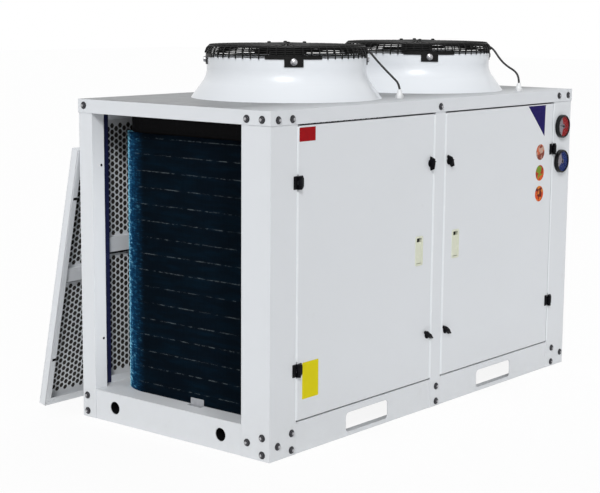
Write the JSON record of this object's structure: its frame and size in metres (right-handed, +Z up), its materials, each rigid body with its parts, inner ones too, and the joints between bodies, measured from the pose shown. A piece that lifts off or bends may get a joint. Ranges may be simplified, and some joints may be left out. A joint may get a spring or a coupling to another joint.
{
  "type": "monoblock condensing unit",
  "caption": "Floor-standing monoblock condensing unit: sheet-metal cabinet with service doors, roof fan rings under wire guards and an L-shaped coil behind an open end.",
  "frame": {"origin": "middle of the cabinet's footprint, on the floor", "axes": "+X along the doors towards the gauge end, +Y to the back, +Z up"},
  "size_m": [1.654, 0.999, 1.171],
  "materials": {
    "cabinet": "pale grey-white powder coat, semi-gloss",
    "door": "pale grey-white powder coat, semi-gloss",
    "pull": "pale cream plastic",
    "black_plastic": "black plastic, fine grain",
    "ring": "brighter white powder coat",
    "black_wire": "black coated wire and plate",
    "motor": "black",
    "rotor": "black fan blades",
    "coil": "dark blue coated fins",
    "zinc": "galvanized sheet",
    "gauge_glass": "clear",
    "cable": "black cable sheath",
    "gland": "pale grey plastic",
    "compressor": "black enamel",
    "rubber": "black rubber"
  },
  "bodies": {
    "cabinet": {"front_base_rail": "cabinet", "rear_base_rail": "cabinet", "left_base_rail": "cabinet", "right_base_rail": "cabinet", "base_pan": "cabinet", "front_left_post": "cabinet", "front_right_post": "cabinet", "rear_left_post": "cabinet", "rear_right_post": "cabinet", "front_middle_post": "cabinet", "rear_middle_post": "cabinet", "roof_panel": "cabinet", "left_hinge_post_leaves": "black_plastic", "right_hinge_post_leaves": "black_plastic", "left_fan_ring": "ring", "right_fan_ring": "ring", "left_fan_guard": "black_wire", "right_fan_guard": "black_wire", "left_guard_brackets": "black_wire", "right_guard_brackets": "black_wire", "left_fan_motor": "motor", "right_fan_motor": "motor", "condenser_coil": "coil", "coil_end_plates": "zinc", "left_rear_panel": "cabinet", "right_rear_panel": "cabinet", "removed_end_panel": "cabinet", "right_end_panel": "cabinet", "upper_gauge": "black_plastic", "lower_gauge": "black_plastic", "gauge_glasses": "gauge_glass", "left_fan_cable": "cable", "right_fan_cable": "cable", "cable_glands": "gland", "compressor": "compressor", "compressor_feet": "rubber", "liquid_receiver": "compressor"},
    "left_door_body": {"left_door": "door", "left_pull_handle": "pull", "left_hinge_door_leaves": "black_plastic"},
    "right_door_body": {"right_door": "door", "right_pull_handle": "pull", "right_hinge_door_leaves": "black_plastic"},
    "left_upper_latch_body": {"left_upper_latch": "black_plastic"},
    "left_lower_latch_body": {"left_lower_latch": "black_plastic"},
    "left_fan_rotor_body": {"left_fan_rotor": "rotor"},
    "right_upper_latch_body": {"right_upper_latch": "black_plastic"},
    "right_lower_latch_body": {"right_lower_latch": "black_plastic"},
    "right_fan_rotor_body": {"right_fan_rotor": "rotor"}
  },
  "joints": [
    {"name": "left_door_hinge", "type": "hinge", "parent": "cabinet", "child": "left_door_body", "pos_m": [-0.7035, -0.396, 0.521], "axis": [0, 0, -1], "range_deg": [0, 110]},
    {"name": "right_door_hinge", "type": "hinge", "parent": "cabinet", "child": "right_door_body", "pos_m": [0.7035, -0.396, 0.521], "axis": [0, 0, 1], "range_deg": [0, 110]},
    {"name": "left_upper_latch_turn", "type": "hinge", "parent": "left_door_body", "child": "left_upper_latch_body", "pos_m": [-0.051, -0.39, 0.799], "axis": [0, -1, 0], "range_deg": [0, 90]},
    {"name": "left_lower_latch_turn", "type": "hinge", "parent": "left_door_body", "child": "left_lower_latch_body", "pos_m": [-0.051, -0.39, 0.246], "axis": [0, -1, 0], "range_deg": [0, 90]},
    {"name": "right_upper_latch_turn", "type": "hinge", "parent": "right_door_body", "child": "right_upper_latch_body", "pos_m": [0.053, -0.39, 0.799], "axis": [0, 1, 0], "range_deg": [0, 90]},
    {"name": "right_lower_latch_turn", "type": "hinge", "parent": "right_door_body", "child": "right_lower_latch_body", "pos_m": [0.053, -0.39, 0.246], "axis": [0, 1, 0], "range_deg": [0, 90]},
    {"name": "left_fan_spin", "type": "hinge", "parent": "cabinet", "child": "left_fan_rotor_body", "pos_m": [-0.295, 0.001, 1.09], "axis": [0, 0, 1], "continuous": true},
    {"name": "right_fan_spin", "type": "hinge", "parent": "cabinet", "child": "right_fan_rotor_body", "pos_m": [0.415, 0.001, 1.09], "axis": [0, 0, 1], "continuous": true}
  ]
}
